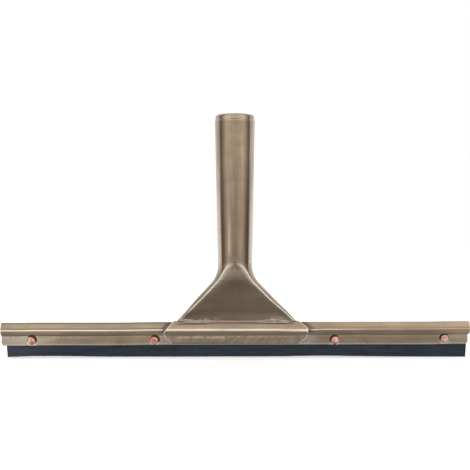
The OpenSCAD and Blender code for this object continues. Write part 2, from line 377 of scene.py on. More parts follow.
def bronze(name, streak_size):
    """Brushed sheet bronze, tarnished, with worn edges, tinned and stained places, and painted highlights
    and shade from its masks.
    """
    n = Finish(name)
    clouds = n.noise((26, 26, 18), detail=5)
    brushed = n.noise((14, 14, 0.35), detail=2)
    fine = n.noise((5, 5, 0.12), detail=1)
    specks = n.noise((1.6, 1.6, 1.1), detail=2)
    tone = n.math("ADD", n.times(clouds, 0.85), n.times(brushed, 0.15))
    color = n.mix(n.ramp(tone, 0.36, 0.62, 0.4, 1), BRONZE_DARK, BRONZE)
    streaks = n.noise(streak_size, detail=3)
    color = n.mix(n.ramp(streaks, 0.35, 0.6, 0.4, 0), color, BRONZE_DARK)
    color = n.mix(n.ramp(streaks, 0.6, 0.78, 0, 0.3), color, BRONZE_BRIGHT)
    color = n.mix(n.ramp(specks, 0.64, 0.74, 0, 0.4), color, BRONZE_DARK)
    # Tarnish, and painted shade.
    color = n.mix(n.times(n.mask("tarnish_and_shade"), 0.75), color, BRONZE_DARK)
    # Dark stains, and painted shade.
    stain_and_shade = n.times(n.mask("stain_and_shade"), n.ramp(clouds, 0.35, 0.6, 0.75, 1))
    color = n.mix(stain_and_shade, color, BRONZE_STAIN_AND_SHADE)
    tinned = n.times(n.mask("tinned"), n.ramp(specks, 0.3, 0.55, 0.35, 1))
    color = n.mix(tinned, color, TIN)
    # Rubbed wear, and painted highlights.
    wear_and_highlight = n.times(n.mask("wear_and_highlight"), n.ramp(brushed, 0.3, 0.6, 0.6, 1))
    color = n.mix(wear_and_highlight, color, BRONZE_BRIGHT)
    roughness = n.ramp(brushed, 0.3, 0.7, 0.12, 0.21)
    roughness = n.math("ADD", roughness, n.times(tinned, 0.18))
    roughness = n.math("ADD", roughness, n.times(n.mask("tarnish_and_shade"), 0.05))
    n.bump((brushed, 0.004), (fine, 0.0015), (specks, 0.003))
    return n.finish(color, roughness, 1.0)


def solder():
    """Dull wiped tin, stained brown by the bronze under it."""
    n = Finish("wiped_solder")
    clouds = n.noise((5, 5, 4), detail=4)
    lumps = n.noise((1.5, 1.5, 1.2), detail=3)
    color = n.mix(n.ramp(clouds, 0.42, 0.62), SOLDER, SOLDER_PALE)
    color = n.mix(n.ramp(lumps, 0.6, 0.72, 0, 0.5), color, SOLDER_SHINY)
    color = n.mix(n.times(n.mask("stained"), 0.85), color, SOLDER_BROWN)
    # Dark stains, and the painted shadow along the foot of the fan's fillet.
    color = n.mix(n.times(n.mask("stain_and_shade"), 0.9), color, SOLDER_STAIN_AND_SHADE)
    n.bump((lumps, 0.03), (clouds, 0.05))
    return n.finish(color, n.ramp(lumps, 0.3, 0.7, 0.26, 0.4), 1.0)


def copper():
    """Hammered copper: bare on its face, with painted shade round its edge where it sits in its dimple."""
    n = Finish("hammered_copper")
    hammer = n.noise((1.9, 1.9, 1.9), detail=2)
    grain = n.noise((0.5, 0.5, 0.5), detail=2)
    # Pale hammered patches, which also stand in for painted highlights on the head.
    color = n.mix(n.ramp(hammer, 0.35, 0.65), COPPER, COPPER_PALE)
    # Painted shade round the head's edge.
    color = n.mix(n.mask("stain_and_shade"), color, COPPER_SHADE)
    n.bump((hammer, 0.12), (grain, 0.01))
    return n.finish(color, n.ramp(grain, 0.3, 0.7, 0.28, 0.42), 1.0)


def rubber():
    """Blue black rubber with a fine matt grain and a paler, worn wiping edge."""
    n = Finish("blade_rubber")
    grain = n.noise((0.5, 0.5, 0.5), detail=4)
    streaks = n.noise((18, 4, 1.4), detail=3)
    color = n.mix(n.ramp(streaks, 0.35, 0.65), RUBBER, RUBBER_PALE)
    color = n.mix(n.times(n.mask("wear_and_highlight"), 0.6), color, RUBBER_WORN)
    n.bump((grain, 0.015), (streaks, 0.03))
    return n.finish(color, n.ramp(grain, 0.3, 0.7, 0.5, 0.68), 0.0, Specular_IOR_Level=0.28)


HANDLE_FINISH = bronze("handle_bronze", (1.6, 1.6, 45))
RAIL_FINISH = bronze("rail_bronze", (40, 1.6, 1.1))
SOLDER_FINISH = solder()
COPPER_FINISH = copper()
RUBBER_FINISH = rubber()


def dress(piece, material, slot, *nodes):
    """The piece takes its material, rides on the one rigid body and stands for its CAD nodes."""
    piece.data.materials.append(material)
    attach(piece, "root")
    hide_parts(*nodes)


# ---------- The handle's half shells ----------
def tube_r(z):
    """The tube's radius: it leaves the neck upright and soon widens evenly to the mouth."""
    rise = max(0.0, z - NECK_Z)
    climbed = rise - TUBE_BEND / 2 if rise > TUBE_BEND else rise ** 2 / (2 * TUBE_BEND)
    return NECK_R + (MOUTH_R - NECK_R) * climbed / (MOUTH_Z - NECK_Z - TUBE_BEND / 2)


def fan_half(z):
    """Half of the shells' width at height z, to the side seams."""
    if z >= NECK_Z:
        return tube_r(z)
    if z >= FLARE_Z:
        return NECK_R
    if z >= STRAIGHT_Z:
        return NECK_R + FLARE_R * (1 - math.sqrt(1 - ((FLARE_Z - z) / FLARE_R) ** 2))
    return STRAIGHT_X + (STRAIGHT_Z - z) * math.tan(FLARE_ANGLE)


def share(low, high, value):
    """How far the value is from low to high, kept between 0 and 1."""
    return min(1.0, max(0.0, (value - low) / (high - low)))


def edge_width(z):
    """Width of the folded side outside each ridge, seen from the front."""
    side = EDGE_FOOT + (EDGE_W - EDGE_FOOT) * share(FAN_BASE_Z, FAN_BASE_Z + EDGE_TAPER, z)
    merged = share(NECK_Z - EDGE_MERGE, NECK_Z, z) ** 3.8
    return side + (fan_half(z) - 0.1 - side) * merged


def sharp_fan_out(z):
    """Half of the shells' thickness at height z, with a sharp bend at the neck."""
    if z >= NECK_Z:
        return tube_r(z)
    return FAN_BASE_OUT + (NECK_R - FAN_BASE_OUT) * share(FAN_BASE_Z + 1, NECK_Z, z) ** 1.8


def fan_out(z):
    """The same with the bend softened."""
    return float(np.mean([sharp_fan_out(z + step) for step in np.linspace(-1.6, 1.6, 9)]))


def fan_lean(z):
    """How far the fan strays to the right at height z: it was soldered on a little askew."""
    return 0.25 * smooth(56, 46, z) + 0.8 * smooth(44, 33, z)


SIDE_COLUMNS = 26
FACE_COLUMNS = 48
FINE = 10  # samples of the true curve for each column
FOLD_LOW, FOLD_HIGH = 0.5, 1.15  # how soft the folds beside the face are, at its foot and its apex


def arc(start, end, half_angle, count):
    """Points from start to end on an arc that turns through twice half_angle, bulging left."""
    chord = end - start
    ahead = unit(chord)
    beside = np.array([-ahead[1], ahead[0]])
    radius = np.linalg.norm(chord) / 2 / math.sin(half_angle)
    angle = np.linspace(-half_angle, half_angle, count)
    run = (radius * np.sin(angle))[:, None] * ahead
    rise = (radius * (np.cos(angle) - math.cos(half_angle)))[:, None] * beside
    return (start + end) / 2 + run + rise


def softened(path, width):
    """A path with its corners rounded off and its ends kept, and how far along each point is."""
    run = np.concatenate([[0], np.cumsum(np.linalg.norm(np.diff(path, axis=0), axis=1))])
    even = np.linspace(0, run[-1], len(path))
    step = even[1]
    reach = int(3 * width / step) + 1
    weights = np.exp(-0.5 * (np.arange(-reach, reach + 1) * step / width) ** 2)
    weights /= weights.sum()
    out = []
    for k in (0, 1):
        line = np.pad(np.interp(even, run, path[:, k]), reach, mode="reflect", reflect_type="odd")
        out.append(np.convolve(line, weights, mode="valid"))
    return even / run[-1], np.stack(out, axis=1)


def true_section(z, inset):
    """The front half section at height z, finely sampled, and the lengths of its wall and face."""
    half, out = fan_half(z), fan_out(z)
    ridge = half - edge_width(z)
    round_out = math.sqrt(half ** 2 - ridge ** 2)
    out += (round_out - out) * float(smooth(NECK_Z - 14, NECK_Z - 5, z))
    turn = (math.pi / 2 - math.asin(min(1.0, ridge / half))) / 2
    corner = np.array([ridge - 0.4 * inset * (ridge > 1), out - inset])
    seam = np.array([half - inset * (1.3 if z < FLARE_Z else 1.0), SEAM_GAP / 2])
    wall = arc(corner, seam, turn, SIDE_COLUMNS * FINE + 1)[::-1]
    s = np.linspace(-1, 1, FACE_COLUMNS * FINE + 1)[1:-1]
    flat = float(smooth(NECK_Z - 1, NECK_Z - 12, z))
    dish = 0.45 * flat * smooth(FAN_BASE_Z, FAN_BASE_Z + 8, z)
    face = np.stack([s * corner[0], corner[1] - dish * (1 - s ** 4)], axis=1)
    lengths = [np.linalg.norm(np.diff(part, axis=0), axis=1).sum() for part in (wall, face)]
    return np.concatenate([wall * [-1, 1], face, wall[::-1]]), lengths, ridge


def shell_section(z, inset):
    """The front half section at height z: [x, out] for each column, and where its ridge is.

    On the fan the columns crowd at the ridges; on the tube they are even.
    """
    path, (wall, face), ridge = true_section(z, inset)
    total = 2 * wall + face
    softness = FOLD_LOW + (FOLD_HIGH - FOLD_LOW) * float(smooth(40, 55, z))
    along_path, path = softened(path, softness)
    toward = 1 - (1 - np.linspace(0, 1, SIDE_COLUMNS + 1)) ** 1.5
    u = np.linspace(-1, 1, FACE_COLUMNS + 1)[1:-1]
    spread = np.sign(u) * (1 - (1 - np.abs(u)) ** 1.7)
    crowded = np.concatenate([toward * wall, wall + (1 + spread) / 2 * face,
                              total - toward[::-1] * wall]) / total
    even = np.linspace(0, 1, len(crowded))
    follow = float(smooth(NECK_Z + 5, NECK_Z - 3, z))
    where = even * (1 - follow) + crowded * follow
    return np.stack([np.interp(where, along_path, path[:, k]) for k in (0, 1)], axis=1), ridge


def shell_grid(rows, side, inset):
    grid, ridges = [], []
    for z in rows:
        section, ridge = shell_section(z, inset)
        grid.append(np.stack([section[:, 0], side * section[:, 1], np.full(len(section), z)], axis=1))
        ridges.append(ridge)
    return np.array(grid), np.array(ridges)[:, None]


def shell_masks(outer, ridge, seam, side, seed):
    """Where a half shell is worn, tarnished and tinned, and where highlights and shade are painted on it."""
    x, out, z = outer[..., 0], np.abs(outer[..., 1]), outer[..., 2]
    across = -side * x
    left = smooth(3, -3, across)
    inward = ridge - np.abs(x)   # from the nearer ridge towards the middle of the face

    # The fan: a flat face, a painted highlight along the ridge on each side of it and the walls outside
    # them, painted in shade.
    fan = smooth(NECK_Z - 2, NECK_Z - 12, z)
    face = fan * smooth(-0.8, 1.5, inward)
    wall = fan * smooth(0.2, -0.8, inward)
    upper = smooth(44, 62, z)
    apex_highlight = smooth(NECK_Z - 0.2, NECK_Z - 1.6, z)
    apex_highlight *= 1 - 0.85 * bell(across + 0.3, 1.9) * smooth(NECK_Z - 8, NECK_Z - 3, z)
    ridge_highlight = bell(inward - 0.2 - 0.3 * upper, 0.75 + 0.7 * upper)
    halo = np.exp(-np.maximum(inward, 0) / (1.4 + 1.7 * left)) * (inward > 0)
    ridge_highlight += 0.8 * halo * (0.3 + 0.6 * upper)
    ridge_highlight *= 1 - 0.25 * smooth(42, 34, z) - (0.2 + 0.5 * left) * smooth(37, 32, z)
    dark_band_and_patch = bell(z - (NECK_Z - 15), 5) + 0.5 * bell(np.hypot(across - 16, z - 35), 11)
    mottle = waves(outer, np.array([45, 45, 9]), seed + 7)
    mottle += 0.5 * waves(outer, np.array([16, 16, 5]), seed + 8)
    foot = smooth(FAN_BASE_Z + 4.5, FAN_BASE_Z + 0.5, z)
    patches = smooth(0.0, 0.45, waves(outer * [1, 0, 1], 15, seed + 2))

    # The tube: two painted highlight streaks down its face, a band of painted shade on each side of it, and
    # sides painted pale as reflections.
    tube = 1 - smooth(NECK_Z, NECK_Z - 4, z)
    lower = smooth(NECK_Z + 80, NECK_Z + 20, z)
    highlight_streak = bell(across + 4.2, 1.1) * smooth(NECK_Z + 42, NECK_Z + 18, z)
    highlight_streak *= smooth(NECK_Z + 1, NECK_Z + 8, z)
    second_highlight = 0.45 * bell(across - 3.2, 1.1) * smooth(NECK_Z + 22, NECK_Z + 8, z)
    highlight_streak += second_highlight * smooth(NECK_Z + 1, NECK_Z + 6, z)
    low_face_shade = tube * lower * smooth(5.5, 9, out)
    low_sides_shade = tube * lower ** 2 * smooth(7.6, 6.0, out)
    shade_band = bell(out - 9.6, 2.2) * smooth(NECK_Z - 8, NECK_Z - 2, z)
    turned_away = smooth(0.2, 0.65, np.abs(x) / np.hypot(x, outer[..., 1]))
    arch_highlight = bell(z - NECK_Z + 0.6, 1.3) * smooth(6, 3, np.abs(x))

    # Painted highlights along the ridges, at the arch and in two streaks down the tube, pale painted
    # reflections on the tube's sides, and the face painted lighter near its apex and on its right.
    wear_and_highlight = ridge_highlight * apex_highlight * (1.0 + 0.15 * waves(outer, 9, seed + 3)) * seam
    wear_and_highlight += highlight_streak * 0.07 + tube * smooth(8.2, 6.2, out) * (0.04 + 0.45 * lower) + 0.08 * arch_highlight
    wear_and_highlight += face * (0.16 * smooth(57, 62, z) + 0.07 * smooth(0, 14, across))
    # Painted shade below the face's apex, more in a band and a patch, on the walls, on the tube's lower
    # front and on its sides turned away from the front; the tube is also darker higher up.
    tarnish_and_shade = face * smooth(NECK_Z - 6, NECK_Z - 13, z) * (0.95 + 0.3 * dark_band_and_patch)
    tarnish_and_shade += wall * (0.5 + 0.4 * left) * smooth(0, 6, out)
    tarnish_and_shade += 0.25 * low_face_shade * (1 - 0.6 * highlight_streak) + 0.45 * low_sides_shade
    tarnish_and_shade += tube * 0.25 * (1 - lower)
    tarnish_and_shade += tube * 0.55 * turned_away * (1 - (0.5 - 0.3 * left) * (1 - lower))
    # Painted shade on the walls, deepest beside the ridges, on the tube's lower front and in bands on its
    # sides; the face darker in a band, a patch, random mottling and towards its foot.
    stain_and_shade = wall * np.exp(np.minimum(inward, 0) / (4 + left)) * (0.75 + 0.25 * left)
    darker_foot = 0.5 * smooth(FAN_BASE_Z + 12, FAN_BASE_Z + 3, z)
    stain_and_shade += face * np.maximum(0, 0.2 * dark_band_and_patch + 0.1 + 0.13 * mottle + darker_foot)
    stain_and_shade += 0.3 * low_face_shade * (1 - highlight_streak) + 0.25 * low_sides_shade
    stain_and_shade += shade_band * (0.05 + 0.1 * lower + 0.15 * lower * (1 - left))
    tinned = foot * patches * fan * 0.6 * smooth(8, 18, np.abs(x))
    return {"wear_and_highlight": wear_and_highlight, "tarnish_and_shade": tarnish_and_shade, "tinned": tinned, "stain_and_shade": stain_and_shade}


def handle_shell(node, side, seed):
    """One pressed half of the handle, slightly dented, with its rows closest round the neck."""
    low, high = FAN_BASE_Z + 0.15, COLLAR_Z + 0.06
    rows = np.concatenate([np.linspace(high, NECK_Z + 4, 90), np.linspace(NECK_Z + 3.7, 61, 50),
                           np.linspace(60.6, low, 78)])
    outer, ridge = shell_grid(rows, side, 0)
    inner, _ = shell_grid(rows, side, SHEET)
    z = outer[..., 2]
    seam = smooth(0.2, 2.5, np.abs(outer[..., 1]))
    dents = 0.05 * waves(outer, 34, seed)
    dents += smooth(NECK_Z - 2, NECK_Z - 12, z) * 0.08 * waves(outer, 17, seed + 1)
    lower_tube = smooth(NECK_Z + 75, NECK_Z + 20, z)
    dents += 0.05 * lower_tube * waves(outer * [1, 1, 0.06], 8, seed + 5, octaves=1)
    outer[..., 1] += side * dents * seam
    masks = shell_masks(outer, ridge, seam, side, seed)
    for grid in (outer, inner):
        grid[..., 0] += fan_lean(grid[..., 2])
    shell = sheet_mesh(f"{node}_sheet", outer, inner, masks, roundness=0.3)
    dress(shell, HANDLE_FINISH, "bronze", node)


# ---------- Mouth ring and seams ----------
def arc_points(r, z, radius, start, end, steps):
    """Points [r, z] round a middle, from the start angle to the end angle in degrees."""
    bend = np.radians(np.linspace(start, end, steps))
    return np.stack([r + radius * np.cos(bend), z + radius * np.sin(bend)], axis=1)


def ring_profile():
    """The ring's closed section: a spigot inside the shells and a rolled collar above them."""
    collar_r = tube_r(COLLAR_Z)
    spigot_r = tube_r(RING_LOW[2]) - SHEET - 0.1
    roll, inner_roll = 1.9, 0.5
    top = arc_points(collar_r - 0.12 - roll, MOUTH_Z - roll, roll, 0, 90, 12)
    inside = arc_points(SOCKET_R + inner_roll, MOUTH_Z - inner_roll, inner_roll, 90, 180, 6)
    low = RING_LOW[2]
    corners = np.array([
        [SOCKET_R + 0.2, low], [spigot_r, low], [spigot_r + 0.1, COLLAR_Z + 0.02],
        [collar_r - 0.08, COLLAR_Z + 0.02], [collar_r, COLLAR_Z + 0.12], top[0]])
    bore = np.array([inside[-1], [SOCKET_R, low + 0.2], [SOCKET_R + 0.2, low]])
    return np.concatenate([along(corners, 0.6), top[1:], inside, along(bore, 1.0)[1:-1]])


def mouth_ring():
    """The ring revolved from its section, its rolled top a little uneven."""
    r, z = ring_profile().T
    turns = np.linspace(0, 2 * math.pi, 129)[:-1]
    rings = np.array([np.stack([r * math.cos(a), r * math.sin(a), z], axis=1) for a in turns])
    rings[..., 2] -= np.abs(waves(rings, 12, 61) * 0.05 * smooth(MOUTH_Z - 3, MOUTH_Z, rings[..., 2]))
    above = rings[..., 2] - COLLAR_Z
    highlight_band = smooth(0.2, 0.9, above) * smooth(3.2, 2.0, above)
    foot = smooth(0.9, 0.3, above)
    outside = np.hypot(rings[..., 0], rings[..., 1]) > SOCKET_R + 1
    aside = smooth(9, 11, np.abs(rings[..., 0]))
    crown_shade = smooth(MOUTH_Z - 2, MOUTH_Z - 0.5, rings[..., 2])
    # Painted highlights on the collar's band and lower edge, and painted shade on the crown and the sides.
    masks = {"wear_and_highlight": outside * (highlight_band * 0.12 * (1 - aside) + 0.2 * foot),
             "tarnish_and_shade": crown_shade * 0.3 + 0.25 * aside * outside}
    ring = loft_mesh("mouth_ring_turned", rings, masks, wrap=True, sharp=50)
    dress(ring, HANDLE_FINISH, "bronze", "mouth_ring")


def seam_solder(node, way):
    """A thin hand-run bead of solder down one side, between the two half shells."""
    rows = np.concatenate([np.linspace(COLLAR_Z - 0.2, NECK_Z, 120),
                           np.arange(NECK_Z - 0.5, FAN_BASE_Z, -0.5)])
    turns = np.linspace(0, 2 * math.pi, 13)[:-1]
    rings = []
    for z in rows:
        lumpy = 1 + 0.35 * waves(np.array([way * 3, 0, z]), 5, 71)
        middle, lean = fan_half(z) - 0.25, fan_lean(z)
        wide, proud = 0.42 * lumpy, 0.36 + 0.05 * lumpy
        rings.append([[lean + way * (middle + proud * math.cos(a)), wide * math.sin(a), z] for a in turns])
    dress(loft_mesh(f"{node}_bead", rings), SOLDER_FINISH, "solder", node)


# ---------- Rail, saddle and the solder on them ----------
RIVETS = [((low[0] + high[0]) / 2, (low[2] + high[2]) / 2) for low, high in RIVET_BOXES]

# The saddle's hand-cut ends, from low to high: [how far in from the tip, z].
LEFT_END = [[7.2, SADDLE_CUT_Z], [2.4, 14.2], [0.8, 18.6], [4.4, 22.9], [7.2, 25.7], [9, 28.2]]
RIGHT_END = [[6.4, SADDLE_CUT_Z], [2.1, 13.5], [0, 17], [0, 22], [5, 26], [9, 28.2]]


def rail_path():
    """The rail's outside as [out, z], from the middle of the top fold down to the lip's edge."""
    corners = np.array([[0, RAIL_TOP], [TOP_HALF, RAIL_TOP], [RIDGE_OUT, RIDGE_Z],
                        [LIP_OUT, GROOVE_Z], [LIP_OUT, LIP_Z]])
    bends = [rounded(*corners[k:k + 3], radius) for k, radius in enumerate(RAIL_BENDS)]
    path = [corners[0]]
    for piece in bends + [corners[4:]]:
        path += list(along(np.array([path[-1], piece[0]]), 0.4)[1:]) + list(piece[1:])
    return np.array(path)


def both_halves(path):
    """A path down the rear, with its mirror image up the front before it: [y, z] points."""
    front = path[::-1] * [FRONT, 1]
    return np.concatenate([front[:-1], path * [REAR, 1]])


def around_rail(gap, sheet, low):
    """The outer and inner [y, z] paths of a sheet bent round the rail, cut off at z = low."""
    path = rail_path()
    path = path[path[:, 1] >= low]
    normals = path_normals(path)
    normals[0] = [0, 1]
    return both_halves(path + normals * (gap + sheet)), both_halves(path + normals * gap)


def swept(xs, path):
    """A grid of points: a path of [y, z] repeated at every x."""
    return np.array([[[x, y, z] for y, z in path] for x in xs])


def refined(low, high, step, places, reach, fine):
    """Numbers from low to high, closer together within reach of each place."""
    marks = set(np.round(np.arange(low, high + step / 2, step), 4))
    for place in places:
        marks = {m for m in marks if abs(m - place) > reach + fine}
        marks |= set(np.round(np.arange(place - reach, place + reach + fine / 2, fine), 4))
    return np.array(sorted(marks | {low, high}))


def saddle_end(z, way):
    """How far the saddle reaches left or right at height z, its corners softened."""
    inset, heights = np.array(RIGHT_END if way == RIGHT else LEFT_END).T
    steps = np.linspace(-0.7, 0.7, 9)
    return SADDLE_HALF - np.mean([np.interp(z + step, heights, inset) for step in steps], axis=0)


def across_of(x, y):
    """How far right a point is, for someone who faces its side."""
    return np.where(y < 0, x, -x)


def lengthwise(x):
    """Points on the x axis, for waves that only change along it."""
    return np.stack([x, 0 * x, 0 * x], axis=-1)


def dimples(x, z):
    """How deep the dimples round the rivets are at each point, and how much shade lies in them."""
    press, seat = np.zeros_like(x), np.zeros_like(x)
    for at_x, at_z in RIVETS:
        dx = x - at_x + math.copysign(DIMPLE_SHIFT_X, at_x)
        dz = z - at_z - DIMPLE_SHIFT_Z
        away = np.hypot(dx, dz)
        press += DIMPLE_DEPTH * smooth(DIMPLE_R + 0.35, HEAD_R + 0.2, away)
        uphill = -math.copysign(0.6, at_x) * dx + 0.8 * dz
        shade = 0.2 + 0.8 * smooth(-0.3, 0.6, uphill / np.maximum(away, 1e-6))
        seat += smooth(DIMPLE_R + 0.3, HEAD_R + 0.3, away) * shade
    return press, seat


def rail_masks(outer, across, y, z, seat):
    """Where the rail is worn, tarnished, tinned and stained, and where highlights and shade are painted on
    it; across, y and z are its plain shape's.
    """
    x = outer[..., 0]
    lip = smooth(GROOVE_Z + 1, GROOVE_Z - 2, z)
    bead = smooth(GROOVE_Z + 1, GROOVE_Z + 3, z)
    foot = smooth(LIP_Z + 1.2, LIP_Z + 0.7, z)
    shadow_line = z - RIDGE_Z - 1.15

    # From the saddle's ends outward: solder on the lips, and the bead darker.
    beyond = np.abs(x) - np.where(x > 0, saddle_end(z, RIGHT), saddle_end(z, LEFT))
    wetted = smooth(12, 3, beyond) * (beyond > -3)
    darker_bead = smooth(6, 2, beyond) * (beyond > -3)
    spots = smooth(0.0, 0.5, waves(outer, 11, 14))
    spatter = smooth(-0.3, 0.3, waves(outer * [1, 0, 0], 4, 18)) * bell(z - GROOVE_Z + 1.6, 0.7)
    spatter *= 0.1 + 0.9 * smooth(-112, -122, across)

    # The painted highlight along the ridge is brightest on the left; on the right it is weaker and the
    # painted shade under the ridge deeper, up to its end.
    on_left = smooth(60, 0, across)
    left_end = smooth(-128, -158, across)
    dull = smooth(40, 80, across) * smooth(172, 150, across)
    shine = 0.15 + 0.65 * smooth(105, 60, across) + 0.4 * smooth(40, -20, across)
    shine = shine * (1.4 + 0.15 * waves(outer, 40, 15))

    # The painted highlight along the ridge.
    wear_and_highlight = bell(z - RIDGE_Z - 0.05, 0.4 + 0.12 * on_left) * (np.abs(y) > 3) * shine
    wear_and_highlight += foot * 0.2 + bell(z - GROOVE_Z + 0.9, 0.5) * 0.14 + 0.4 * spatter * lip
    rubbed_ends = 0.12 * smooth(-80, -120, across) + 0.1 * smooth(130, 170, across)
    wear_and_highlight += lip * (0.46 * left_end + rubbed_ends)

    # Painted shade on the top fold, along the shadow line above the ridge, in the groove, on the flank above
    # the ridge and under the ridge on the right; a darker line higher on the flank on the right; clouded
    # tarnish on the lips.
    tarnish_and_shade = smooth(RAIL_TOP - 1.0, RAIL_TOP - 0.3, z) * (0.2 + 0.65 * on_left)
    tarnish_and_shade += bell(shadow_line, 0.42) + bell(z - GROOVE_Z - 0.5, 0.6) * 0.8
    tarnish_and_shade += 0.35 * bell(z - RIDGE_Z - 2.4, 0.9) * smooth(20, 80, across)
    flank_shade = 0.22 + 0.32 * smooth(20, -40, across) + 0.15 * waves(outer, 34, 19)
    tarnish_and_shade += smooth(RIDGE_Z + 0.6, RIDGE_Z + 1.4, z) * flank_shade + 0.35 * dull * (z < RIDGE_Z - 0.5)
    cloudy = 0.04 + 0.12 * smooth(0, 60, across) + 0.2 * waves(outer, 22, 16)
    tarnish_and_shade += lip * cloudy * (1 - left_end)

    # Painted shade in the dimples round the heads, under the ridge on the right, on the top fold, along the
    # shadow line and in the groove; the bead darker beyond the saddle.
    stain_and_shade = seat * lip * 2.5 + darker_bead * bead * (1.0 + 0.3 * spots) + 0.08 * dull * (z < RIDGE_Z)
    stain_and_shade += smooth(RAIL_TOP - 0.9, RAIL_TOP - 0.4, z) * 0.7 * on_left
    stain_and_shade += bell(shadow_line, 0.38) * (0.35 + 0.45 * smooth(0, -60, across))
    stain_and_shade += bell(z - GROOVE_Z - 0.1, 0.45) * (0.15 + 0.5 * smooth(-60, -110, across))

    tinned = wetted * lip * (0.7 + 0.3 * spots) + 0.6 * spatter * lip + 0.8 * foot
    # Wear and tin are left out where the painted shade of the dimples lies.
    bare = 1 - np.clip(2.5 * seat, 0, 1)
    return {"wear_and_highlight": wear_and_highlight * bare, "tarnish_and_shade": tarnish_and_shade, "tinned": tinned * bare, "stain_and_shade": stain_and_shade}


def rail():
    """The folded strip: its bead a little uneven, with a dimple drawn in at every rivet."""
    half = RAIL_HIGH[0] - 0.3
    xs = refined(-half, half, step=1.8, places=[x for x, _ in RIVETS], reach=4.6, fine=0.23)
    ends = np.array([-half, -half + 0.3, -half + 0.8, half - 0.8, half - 0.3, half])
    xs = np.unique(np.concatenate([xs[np.abs(xs) < half - 1], ends]))
    outer, inner = (swept(xs, path) for path in around_rail(-RAIL_SHEET, RAIL_SHEET, LIP_Z))
    x, y, z = outer[..., 0], outer[..., 1].copy(), outer[..., 2].copy()
    across = across_of(x, y)
    uneven = 0.07 * waves(outer * [1, 1, 0.5], 60, 11) + 0.03 * waves(outer, 14, 12)
    tilt = 0.28 * smooth(145, 160, x) - 0.3 * smooth(-57, -85, x) - 0.12 * smooth(-145, -165, x)
    press, seat = dimples(x, z + tilt)
    press *= smooth(GROOVE_Z + 1, GROOVE_Z - 2, z)
    cut_back = np.where(across > 0, 1.7, 0.5) * smooth(GROOVE_Z + 0.6, GROOVE_Z - 0.6, z)
    cut_back += 0.05 * waves(outer * [0, 1, 1], 9, 17) + 0.8 * smooth(LIP_Z + 1.8, LIP_Z, z)
    raised = 0.35 * smooth(57, 68, across) * bell(z - RIDGE_Z, 2.2)
    for grid in (outer, inner):
        grid[..., 0] -= np.sign(x) * np.maximum(cut_back, 0) * smooth(half - 10, half, np.abs(x))
        grid[..., 1] += np.sign(y) * (uneven * np.minimum(1, np.abs(y) / 2) - press)
        grid[..., 2] += tilt + raised + 0.05 * waves(lengthwise(x), 70, 13)
    masks = rail_masks(outer, across, y, z, seat)
    dress(sheet_mesh("rail_folded", outer, inner, masks), RAIL_FINISH, "bronze", "rail")


def saddle_masks(outer, across, y, z, edge):
    """Where the saddle is worn, tarnished and tinned, and where highlights, shade and shadow are painted on
    it; edge is how far in from its ends.
    """
    aside = np.abs(across)
    on_left = smooth(0, -12, across)
    lip = smooth(GROOVE_Z + 1, GROOVE_Z - 1, z)
    flank_shade = smooth(RIDGE_Z - 0.4, RIDGE_Z - 0.9, z) * smooth(GROOVE_Z - 1.2, GROOVE_Z, z)
    spots = smooth(0.15, 0.6, waves(outer, 8, 23))

    # A broken line of scratches runs along the lip, bolder and lower on the left.
    scratches = smooth(-0.5 - 0.6 * on_left, 0.3, waves(outer * [1, 0, 0], 2.6, 25))
    wander = 0.22 * waves(outer * [1, 0, 0], 11, 28) * on_left
    scratches *= bell(z - GROOVE_Z + 1.35 + 0.5 * on_left + wander, 0.4 + 0.3 * on_left)
    scratches *= 0.75 + 0.35 * waves(outer, 1.6, 27)
    scratches *= smooth(46, 40, aside) * (0.45 + 0.35 * on_left)

    # The painted highlight along the ridge.
    ridge = bell(z - RIDGE_Z - 0.2, 0.75) * (np.abs(y) > 3)
    wear_and_highlight = ridge * (1.25 + 0.12 * waves(outer, 22, 24)) + scratches + smooth(0.9, 0.1, edge) * 0.85
    # Painted shade under the ridge, in the groove and above the ridge; tarnish on the lips.
    tarnish_and_shade = flank_shade * 0.75 + lip * (0.55 + 0.3 * waves(outer, 18, 26))
    tarnish_and_shade += bell(z - GROOVE_Z - 0.1, 0.5) * 0.4 + 0.7 * smooth(RIDGE_Z + 0.8, RIDGE_Z + 1.4, z)
    low_end = smooth(SADDLE_HALF - 9, SADDLE_HALF - 3, aside)
    # The painted shadow under the solder along the fan's foot.
    foot_shadow_line = bell(z - FAN_BASE_Z + 1.9 + 0.4 * smooth(-15, -25, across), 0.5)
    stain_and_shade = (0.7 + 0.3 * smooth(15, 30, aside)) * foot_shadow_line * smooth(46, 42, aside)
    return {"wear_and_highlight": wear_and_highlight, "tarnish_and_shade": tarnish_and_shade, "tinned": spots * 0.3 * lip + low_end * lip * 0.5,
            "stain_and_shade": stain_and_shade}


def saddle():
    """The folded plate over the rail, hammered down by hand."""
    paths = around_rail(SADDLE_GAP, SADDLE_SHEET, SADDLE_CUT_Z)
    heights = paths[0][:, 1]
    left, right = saddle_end(heights, LEFT) - 0.3, saddle_end(heights, RIGHT) - 0.3
    shares = np.linspace(-1, 1, 221)[:, None]
    x = shares * np.where(shares > 0, right, left)
    outer, inner = (np.stack([x, 0 * x + path[:, 0], 0 * x + path[:, 1]], axis=-1) for path in paths)
    y, z = outer[..., 1].copy(), outer[..., 2].copy()
    across = across_of(x, y)
    hammered = 0.06 * waves(outer, 9, 21) + 0.06 * waves(outer, 26, 22)
    push = np.sign(y) * hammered * np.minimum(1, np.abs(y) / 2)
    outer[..., 1] += push
    inner[..., 1] += push * 0.5
    outer[..., 2] -= (0.2 + 0.5 * smooth(28, 46, across)) * bell(z - RIDGE_Z, 2.2)
    edge = np.where(x > 0, right, left) - np.abs(x)
    masks = saddle_masks(outer, across, y, z, edge)
    dress(sheet_mesh("saddle_folded", outer, inner, masks), RAIL_FINISH, "bronze", "saddle")


